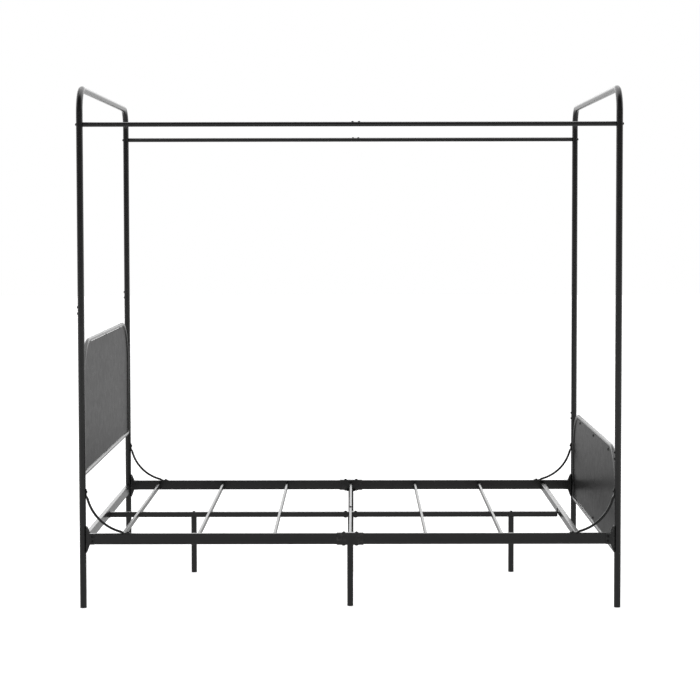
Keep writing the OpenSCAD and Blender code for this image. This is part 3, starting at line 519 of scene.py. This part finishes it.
def board_loop(x, top_z, low_z, r):
    """The frame's closed loop: four bends, two wide ones above and two tight ones below,
    with straight tube between them, as rings of radius r."""
    top_c = (board_y - board_bend, top_z - board_tube_r - board_bend)
    low_c = (board_y - low_bend, low_z + board_tube_r + low_bend)
    right = np.concatenate([quarter_bend(low_c, low_bend, -np.pi / 2, 0, x, 12),
                            quarter_bend(top_c, board_bend, 0, np.pi / 2, x, 40)])
    path = np.concatenate([right, right[::-1] * [1, -1, 1]])
    tangent = np.roll(path, -1, 0) - np.roll(path, 1, 0)
    tangent /= np.linalg.norm(tangent, axis=1)[:, None]
    straight = np.roll(path, -1, 0) - path
    long = np.linalg.norm(straight, axis=1) > 50 * mm
    for index in np.flatnonzero(long):
        tangent[index] = straight[index] / np.linalg.norm(straight[index])
        tangent[(index + 1) % len(path)] = tangent[index]
    up = np.array([1.0, 0, 0])
    across = np.cross(up, tangent)
    outline = round_outline(r, 36)
    rings = path[:, None] + outline[None, :, :1] * across[:, None] + outline[None, :, 1:] * up
    return skin(rings, closed=True)


def panel_places(top_z, low_z):
    """Where a panel is fixed to its tabs: (y, z, direction to the tube beside it)."""
    high = top_z - 2 * board_tube_r - panel_gap - fix_inset
    low = low_z + 2 * board_tube_r + panel_gap + fix_inset
    top_y = board_y - board_bend - top_fix_in
    low_y = board_y - low_fix_in
    side_y = panel_y - fix_inset
    side_z = low_z + side_fix_up
    return ([(y, high, (0, 1)) for y in (-top_y, 0, top_y)] + [(y, low, (0, -1)) for y in (-low_y, 0, low_y)]
            + [(-side_y, side_z, (-1, 0)), (side_y, side_z, (1, 0))])


def board_sheet(x_back, bed, top_z, low_z, thick):
    """The panel: a rectangle with wide arcs at its top corners and tight ones below, carried
    through its thickness with softened edges."""
    r = board_bend - board_tube_r - panel_gap
    low, top = low_z + 2 * board_tube_r + panel_gap, top_z - 2 * board_tube_r - panel_gap
    low_r = low_bend - board_tube_r - panel_gap
    a = np.linspace(0, np.pi / 2, 40)
    arc = np.stack([panel_y - r + r * np.cos(a), top - r + r * np.sin(a)], -1)
    b = np.linspace(-np.pi / 2, 0, 8)
    corner = np.stack([panel_y - low_r + low_r * np.cos(b), low + low_r + low_r * np.sin(b)], -1)
    right = np.concatenate([corner, arc])
    outline = np.concatenate([right, right[::-1] * [-1, 1]])
    path = [(x_back + bed * thick * t, 0, 0) for t in (0, 0.5, 1)]
    return skin(carry(path, outline * [-bed, 1], (0, 0, 1), 0.4 * mm))


def hex_nut(at, axis, across, height, hole_d, bevel):
    """A hexagon nut: the profile goes from the hole over a bevelled face, up the flats and
    back to the hole."""
    hole_r, flat_r, bevel_h = hole_d / 2, across / 2, 0.4 * mm
    profile = [(hole_r, 0), (flat_r - bevel, 0), (flat_r, bevel_h),
               (flat_r, height - bevel_h), (flat_r - bevel, height), (hole_r, height)]
    return turned(profile, at, axis, 36, [0, 1, 1, 1, 1, 0])


sheet_t, stud_r = 2 * mm, 2.5 * mm
tab_t, tab_half_w, tab_back, tab_weld_r = 3 * mm, 12 * mm, 5 * mm, 1.5 * mm
tab_reach = fix_inset + panel_gap + board_tube_r - 1 * mm
tab_rim = fix_inset + panel_gap + 0.6 * mm
lug_half_t, lug_half_h, lug_inset = 3 * mm, 10 * mm, 60 * mm
for end in ends:
    board = f"{end}board"
    x = post_at[end, "right"][0]
    bed = 1 if end == "head" else -1
    low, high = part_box(f"{board}_frame")
    low_z, top_z = low[2], high[2]
    solids = [board_loop(x, top_z, low_z, board_tube_r)]
    for y, z, (to_y, to_z) in panel_places(top_z, low_z):
        x_back = x - bed * tab_t
        y_span = (y - to_y * tab_back, y + to_y * tab_reach) if to_y else (y - tab_half_w, y + tab_half_w)
        z_span = (z - to_z * tab_back, z + to_z * tab_reach) if to_z else (z - tab_half_w, z + tab_half_w)
        solids.append(plate((x_back, x - bed * 0.1 * mm), y_span, z_span, 0))
        if to_z:
            rim_z = z + to_z * tab_rim
            solids.append(straight_weld((x_back, y - tab_half_w, rim_z), (x_back, y + tab_half_w, rim_z),
                                        tab_weld_r, (0, 0, 1)))
        else:
            rim_y = y + to_y * tab_rim
            solids.append(straight_weld((x_back, rim_y, z - tab_half_w), (x_back, rim_y, z + tab_half_w),
                                        tab_weld_r, (0, 1, 0)))
    for mirror in (-1, 1):
        y_span = (mirror * (board_y + board_tube_r / 2), mirror * (board_y + board_tube_r + 1 * mm))
        weld_y = mirror * (board_y + board_tube_r + 0.3 * mm)
        for z in (low_z + lug_inset, top_z - board_bend - lug_inset):
            z_span = (z - lug_half_h, z + lug_half_h)
            solids.append(plate((x - lug_half_t, x + lug_half_t), y_span, z_span, 0))
            for weld_x in (x - lug_half_t - 0.4 * mm, x + lug_half_t + 0.4 * mm):
                solids.append(straight_weld((weld_x, weld_y, z_span[0]), (weld_x, weld_y, z_span[1]),
                                            1.4 * mm, (0, 1, 0)))
    piece(f"{board}_tube_loop", solids, tube_coat, "frame_paint", f"{board}_frame")

    places = [(y, z) for y, z, towards_tube in panel_places(top_z, low_z)]
    solids = [board_sheet(x, bed, top_z, low_z, sheet_t)]
    if end == "head":
        solids += [rod((x + 0.5 * mm, y, z), (x - 10 * mm, y, z), stud_r, 0.4 * mm, 16) for y, z in places]
    piece(f"{board}_sheet_panel", solids, sheet_coat, "panel_paint", f"{board}_panel")
    if end == "head":
        solids = [hex_nut((x - tab_t, y, z), (-1, 0, 0), 8 * mm, 4 * mm, 5.1 * mm, 0.3 * mm)
                  for y, z in places]
        piece("headboard_hex_nuts", solids, plated, "fastener", "headboard_nuts")
    else:
        solids = [button_head((x + bed * (sheet_t - head_sink), y, z), (bed, 0, 0), 14 * mm, 3.5 * mm,
                              8 * mm, 2 * stud_r) for y, z in places]
        piece("footboard_button_screws", solids, plated, "fastener", "footboard_screws")

# ------------------------------------------------------------------ side rails
# Each side rail is rectangular tube in two halves, with small welded angles inside that
# carry the slat ends.
rail_low, rail_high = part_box("right_rail_foot_half")
bracket_low, bracket_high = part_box("rail_brackets")
rail_t, rail_h = 18 * mm, rail_high[2] - rail_low[2]
rail_z = (rail_low[2] + rail_high[2]) / 2
rail_start, rail_end = rail_low[0], rail_high[0]
inner_y = post_y - rail_t / 2
rest_half_w, rest_l, rest_t, rest_wall_h = 10 * mm, 20 * mm, 2 * mm, 12 * mm
rest_edge, rest_sink = 0.4 * mm, 0.2 * mm
slat_x = [sum(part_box(f"slat_{number}")[corner][0] for corner in (0, 1)) / 2 for number in range(1, 7)]
slat_low, slat_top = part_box("slat_1")[0][2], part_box("slat_1")[1][2]
bar_low, bar_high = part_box("foot_crossbar")
bar_x = (bar_low[0] + bar_high[0]) / 2


def straight_tube(start, end, w, h, corner, lip=0.6 * mm):
    """A rectangular tube, w wide and h high, from start to end, with rolled corners."""
    start, end = np.asarray(start, float), np.asarray(end, float)
    path = start + (end - start) * np.linspace(0, 1, 3)[:, None]
    return skin(carry(path, box_outline(w, h, corner), (0, 0, 1), lip))


for mirror, side in ((-1, "left"), (1, "right")):
    for end_sign, end in ((-1, "head"), (1, "foot")):
        y = mirror * post_y
        solids = [straight_tube((end_sign * rail_start, y, rail_z), (end_sign * rail_end, y, rail_z),
                                rail_t, rail_h, 3 * mm)]
        shelves = [(x, slat_low) for x in slat_x if x * end_sign > 0.1]
        if end == "foot":
            shelves.append((bar_x, bar_low[2]))
        for x, shelf in shelves:
            x_span, y_wall = (x - rest_half_w, x + rest_half_w), mirror * (inner_y + rest_sink)
            solids.append(plate(x_span, (mirror * (inner_y - rest_l), y_wall),
                                (shelf - rest_t, shelf), 2, rest_edge))
            solids.append(plate(x_span, (mirror * (inner_y - rest_t), y_wall),
                                (shelf - 1.5 * mm, shelf + rest_wall_h), 1, rest_edge))
        piece(f"{side}_rail_tube_{end}", solids, tube_coat, "frame_paint", f"{side}_rail_{end}_half")

# ------------------------------------------------------------------ rail brackets
# A pressed channel is welded to each post: its web lies on the post and its two cheeks
# taper down to the rail, which two bolts clamp between them.
cheek_gap = rail_t / 2 + 0.3 * mm
cheek_t, weld_short = 3 * mm, 4 * mm
bolt_d, bolt_rise, bolt_in = 6 * mm, 9.5 * mm, 25 * mm
web_top, web_low = bracket_high[2], bracket_low[2]
cheek_l, taper, step = 34 * mm, 14 * mm, 2.5 * mm
outline = rounded_outline([(0, web_low), (step, web_low), (taper, rail_low[2]), (cheek_l, rail_low[2]),
                           (cheek_l, rail_high[2]), (taper, rail_high[2]), (step, web_top), (0, web_top)],
                          2.2 * mm)
solids, bolts = [], []
for (end, side), (x, y, seam_z, top_z) in post_at.items():
    bed = 1 if end == "head" else -1
    face = x + bed * post_r
    out = 1 if side == "right" else -1
    for cheek in (-1, 1):
        path = [(face, y + cheek * (cheek_gap + cheek_t * t), 0) for t in (0, 0.5, 1)]
        solids.append(skin(carry(path, outline * [-bed * cheek, 1], (0, 0, 1), 0.4 * mm)))
        weld_x, weld_y = face + bed * 0.6 * mm, y + cheek * (cheek_gap + cheek_t - 1 * mm)
        solids.append(straight_weld((weld_x, weld_y, web_low + weld_short),
                                    (weld_x, weld_y, web_top - weld_short), 1.7 * mm, (0, 1, 0)))
    solids.append(plate((face, face + bed * cheek_t), (y - cheek_gap - 1 * mm, y + cheek_gap + 1 * mm),
                        (web_low + 0.5 * mm, web_top - 0.5 * mm), 0))
    for rise in (-bolt_rise, bolt_rise):
        spot = (face + bed * bolt_in, y + out * (cheek_gap + cheek_t - head_sink), rail_z + rise)
        bolts.append(button_head(spot, (0, out, 0), shank=25 * mm, shank_d=bolt_d, **bolt_head))
piece("pressed_rail_brackets", solids, tube_coat, "frame_paint", "rail_brackets")
piece("bracket_button_bolts", bolts, plated, "fastener", "rail_bracket_bolts")

# ------------------------------------------------------------------ middle sleeves
# A welded sheet sleeve slides over the middle joint of each rail. Its ear at the bottom
# carries the side leg, its shelf the middle slat.
sleeve_low, sleeve_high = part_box("right_rail_sleeve")
sleeve_half_l = sleeve_high[0]
sleeve_t = 2 * (sleeve_high[1] - post_y)
sleeve_h = sleeve_high[2] - sleeve_low[2]
leg_low, leg_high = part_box("right_side_leg")
side_leg_y = (leg_low[1] + leg_high[1]) / 2
sleeve_wall, ear_half_l, shelf_clear = 2 * mm, 20 * mm, 6.5 * mm


def hollow_tube(half_l, y, z, w, h, wall):
    """An open sleeve about the X axis: the skin runs along the outside, turns over each end
    and comes back along the inside, so it closes on itself."""
    outer, inner = box_outline(w, h, 3 * mm), box_outline(w - 2 * wall, h - 2 * wall, 1.2 * mm)
    stations = [(-half_l + 0.5 * mm, outer), (0, outer), (half_l - 0.5 * mm, outer),
                (half_l, inset_outline(outer, 0.5 * mm)), (half_l, inset_outline(inner, -0.4 * mm)),
                (half_l - 0.4 * mm, inner), (0, inner), (-half_l + 0.4 * mm, inner),
                (-half_l, inset_outline(inner, -0.4 * mm)), (-half_l, inset_outline(outer, 0.5 * mm))]
    rings = [np.stack([np.full(len(ring), x), y + ring[:, 0], z + ring[:, 1]], -1) for x, ring in stations]
    return skin(np.stack(rings), closed=True)


for mirror, side in ((-1, "left"), (1, "right")):
    inner = post_y - sleeve_t / 2
    y_wall = mirror * (inner + sleeve_wall / 2)
    solids = [hollow_tube(sleeve_half_l, mirror * post_y, rail_z, sleeve_t, sleeve_h, sleeve_wall),
              plate((-ear_half_l, ear_half_l), (mirror * sleeve_low[1], y_wall),
                    (sleeve_low[2], sleeve_low[2] + sleeve_wall), 2),
              plate((-rest_half_w, rest_half_w), (mirror * (side_leg_y + shelf_clear), y_wall),
                    (slat_low - rest_t, slat_low), 2, rest_edge)]
    piece(f"{side}_sheet_sleeve", solids, tube_coat, "frame_paint", f"{side}_rail_sleeve")

# ------------------------------------------------------------------ head and foot crossbars
# The head crossbar is welded between the head posts. The foot crossbar lies on the rail
# angles, and the centre beam ends at both.
head_low, head_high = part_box("head_crossbar")
head_x = (head_low[0] + head_high[0]) / 2
head_z, head_h = (head_low[2] + head_high[2]) / 2, head_high[2] - head_low[2]
head_t = head_high[0] - head_low[0]
head_end_y = post_y - post_r + 1.5 * mm
solids = [straight_tube((head_x, -head_end_y, head_z), (head_x, head_end_y, head_z), head_t, head_h, 3 * mm)]
for weld_y in (-head_end_y + 1 * mm, head_end_y - 1 * mm):
    for weld_x in (head_low[0], head_high[0]):
        solids.append(straight_weld((weld_x, weld_y, head_low[2] + 2 * mm),
                                    (weld_x, weld_y, head_high[2] - 2 * mm), 1.8 * mm, (0, 1, 0)))
piece("head_crossbar_tube", solids, tube_coat, "frame_paint", "head_crossbar")
bar_z, bar_h, bar_w = (bar_low[2] + bar_high[2]) / 2, bar_high[2] - bar_low[2], bar_high[0] - bar_low[0]
piece("foot_crossbar_tube",
      [straight_tube((bar_x, bar_low[1], bar_z), (bar_x, bar_high[1], bar_z), bar_w, bar_h, 2.5 * mm)],
      tube_coat, "frame_paint", "foot_crossbar")

# ------------------------------------------------------------------ centre beam
# A square tube in two halves with a splice inside. At each end a tongue on a welded
# plate slides into it.
beam_low, beam_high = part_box("beam_head_half")
beam_w = beam_high[1] - beam_low[1]
beam_z = (beam_low[2] + beam_high[2]) / 2
tongue_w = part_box("beam_splice")[1][1] * 2
for name in ("beam_head_half", "beam_foot_half"):
    low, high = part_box(name)
    solids = [straight_tube((low[0], 0, beam_z), (high[0], 0, beam_z), beam_w, beam_w, 2.2 * mm)]
    piece(f"{name}_tube", solids, tube_coat, "frame_paint", name)
for name, bed in (("beam_head_bracket", 1), ("beam_foot_bracket", -1)):
    low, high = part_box(name)
    root = low[0] if bed > 0 else high[0]
    tip = high[0] if bed > 0 else low[0]
    weld_x = root + bed * 0.6 * mm
    solids = [plate((root, root + bed * cheek_t), (low[1], high[1]), (low[2], high[2]), 0),
              straight_tube((root + bed * 2 * mm, 0, beam_z), (tip, 0, beam_z), tongue_w, tongue_w, 1.5 * mm)]
    for weld_y in (-high[1], high[1]):
        solids.append(straight_weld((weld_x, weld_y, low[2] + 2 * mm), (weld_x, weld_y, high[2] - 2 * mm),
                                    1.5 * mm, (0, 1, 0)))
    piece(f"{name}_welded", solids, tube_coat, "frame_paint", name)
low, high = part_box("beam_splice")
solids = [straight_tube((low[0], 0, beam_z), (high[0], 0, beam_z), tongue_w, tongue_w, 1.5 * mm)]
piece("beam_splice_tube", solids, plated, "fastener", "beam_splice")

# ------------------------------------------------------------------ joint bolts and nuts
# Larger bolts stand upright through both sleeves and through the splice of the beam,
# with thin nuts below.
solids, nuts = [], []
sleeve_bolt_x, splice_bolt_x, nut_h = 25 * mm, 21.5 * mm, 3.2 * mm
spots = [(x, y, rail_z + sleeve_h / 2, rail_z - sleeve_h / 2)
         for x in (-sleeve_bolt_x, sleeve_bolt_x) for y in (-post_y, post_y)]
spots += [(x, 0.0, slat_low, beam_low[2]) for x in (-splice_bolt_x, splice_bolt_x)]
for x, y, top, bottom in spots:
    solids.append(button_head((x, y, top - head_sink), (0, 0, 1), 13 * mm, 4 * mm,
                              top - bottom + 4 * mm, 8 * mm))
    nuts.append(hex_nut((x, y, bottom), (0, 0, -1), 13 * mm, nut_h, 8.2 * mm, 0.4 * mm))
piece("upright_joint_bolts", solids, plated, "fastener", "joint_bolts")
piece("thin_hex_nuts", nuts, plated, "fastener", "joint_nuts")

# ------------------------------------------------------------------ slats
# The slats are narrow rectangular tubes across the bed, resting on the rail angles and
# the beam. Moulded caps close their ends and those of the foot crossbar.
for number in range(1, 7):
    low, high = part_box(f"slat_{number}")
    x, z = (low[0] + high[0]) / 2, (low[2] + high[2]) / 2
    piece(f"slat_tube_{number}",
          [straight_tube((x, low[1], z), (x, high[1], z), high[0] - low[0], high[2] - low[2], 1.8 * mm)],
          tube_coat, "frame_paint", f"slat_{number}")
cap_face_y, tube_end_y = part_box("slat_end_caps")[1][1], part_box("slat_1")[1][1]
slat_w, slat_z = 10 * mm, (slat_low + slat_top) / 2
plug_l, plug_inset = 12 * mm, 1.4 * mm
sections = [(x, slat_z, slat_w, slat_top - slat_low) for x in slat_x] + [(bar_x, bar_z, bar_w, bar_h)]
solids = []
for mirror in (-1, 1):
    tube_end, cap_face = mirror * tube_end_y, mirror * cap_face_y
    for x, z, w, h in sections:
        solids.append(plate((x - w / 2, x + w / 2), (tube_end, cap_face), (z - h / 2, z + h / 2), 1,
                            0.6 * mm))
        half_w, half_h = w / 2 - plug_inset, h / 2 - plug_inset
        solids.append(plate((x - half_w, x + half_w), (tube_end - mirror * plug_l, tube_end),
                            (z - half_h, z + half_h), 1, 0.4 * mm))
piece("slat_caps_moulded", solids, moulded, "cap", "slat_end_caps")

# ------------------------------------------------------------------ legs
# Three legs stand under the centre beam and one under each sleeve. Bolts from above
# thread into the plugs in their tops.
leg_feet, leg_bolts = [], []
clamped_top = {"center_leg": slat_top, "head_beam_leg": slat_low, "foot_beam_leg": slat_low}
for name in ("left_side_leg", "right_side_leg", "center_leg", "head_beam_leg", "foot_beam_leg"):
    low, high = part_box(name)
    x, y, r = (low[0] + high[0]) / 2, (low[1] + high[1]) / 2, (high[0] - low[0]) / 2
    piece(f"{name}_tube", [rod((x, y, low[2]), (x, y, high[2]), r, 0.5 * mm)], tube_coat, "frame_paint", name)
    leg_feet.append(plastic_foot(x, y, r, low[2]))
    under_head = clamped_top.get(name, high[2] + sleeve_wall)
    leg_bolts.append(button_head((x, y, under_head - head_sink), (0, 0, 1),
                                 shank=under_head - high[2] + 8 * mm, shank_d=bolt_d, **bolt_head))
piece("leg_feet_moulded", leg_feet, moulded, "cap", "leg_feet")
piece("leg_button_bolts", leg_bolts, plated, "fastener", "leg_bolts")

# ------------------------------------------------------------------ corner braces
# Each brace is a round rod bent to an arc, with its ends pressed flat and drilled. It
# is bolted to the inside of the post and to the top of the rail.
reach, brace_bend, rod_r = 162 * mm, 180 * mm, 5 * mm
tab_half_t, tab_end_r = 1.5 * mm, 6 * mm
near_end, far_end = rod_r + 0.2 * mm, reach - 23 * mm
centre = (near_end + far_end + math.sqrt(2 * brace_bend ** 2 - (far_end - near_end) ** 2)) / 2


def brace_rod(corner, bed):
    """Half of the path runs from the rail tab to the diagonal, the other half is the same
    with its two coordinates swapped. The section goes from a flat bar to a round rod: a
    super-ellipse whose power and two half widths change along the path."""
    tab = np.linspace(reach + 2 * tab_end_r, reach - 30 * mm, 34)
    low_arc = centre - np.sqrt(brace_bend ** 2 - (np.minimum(tab, centre) - centre) ** 2)
    ease = np.clip((reach - 10 * mm - tab) / (18 * mm), 0, 1)
    ease = ease ** 2 * (3 - 2 * ease)
    height = (1 - ease) * tab_half_t + ease * np.maximum(low_arc, near_end)
    start = math.atan2(height[-1] - centre, tab[-1] - centre)
    angle = np.linspace(start, -0.75 * math.pi, 22)[1:]
    along = np.concatenate([tab, centre + brace_bend * np.cos(angle)])
    away = np.concatenate([height, centre + brace_bend * np.sin(angle)])
    blend = np.concatenate([ease, np.ones(len(angle))])
    past = np.clip(along - reach - tab_end_r, 0, None) / tab_end_r
    nose = np.sqrt(np.clip(1 - past ** 2, 0.01, 1))
    wide = ((1 - blend) * tab_end_r + blend * rod_r) * nose
    thick = (1 - blend) * tab_half_t + blend * rod_r
    power = 2 / (2 + (1 - blend) * 5)
    along, away = np.concatenate([along, away[-2::-1]]), np.concatenate([away, along[-2::-1]])
    wide, thick, power = [np.concatenate([v, v[-2::-1]]) for v in (wide, thick, power)]
    path = np.stack([corner[0] + bed * along, np.full(len(along), corner[1]), corner[2] + away], -1)
    tangent = np.gradient(path, axis=0)
    tangent /= np.linalg.norm(tangent, axis=1)[:, None]
    up = np.array([0, 1.0, 0])
    across = np.cross(up, tangent)
    t = np.arange(32) * 2 * np.pi / 32
    a = np.sign(np.cos(t)) * np.abs(np.cos(t)) ** power[:, None] * thick[:, None]
    b = np.sign(np.sin(t)) * np.abs(np.sin(t)) ** power[:, None] * wide[:, None]
    return skin(path[:, None] + a[:, :, None] * across[:, None] + b[:, :, None] * up)


bolts = []
for (end, side), (x, y, seam_z, top_z) in post_at.items():
    bed = 1 if end == "head" else -1
    corner = (x + bed * post_r, y, rail_high[2])
    piece(f"{end}_{side}_bent_brace", [brace_rod(corner, bed)], tube_coat, "frame_paint",
          f"{end}_{side}_brace")
    for spot, axis in (((corner[0] + bed * reach, y, corner[2] + 2 * tab_half_t - head_sink), (0, 0, 1)),
                       ((corner[0] + bed * (2 * tab_half_t - head_sink), y, corner[2] + reach), (bed, 0, 0))):
        bolts.append(button_head(spot, axis, shank=8 * mm, shank_d=bolt_d, **bolt_head))
piece("brace_button_bolts", bolts, plated, "fastener", "brace_bolts")
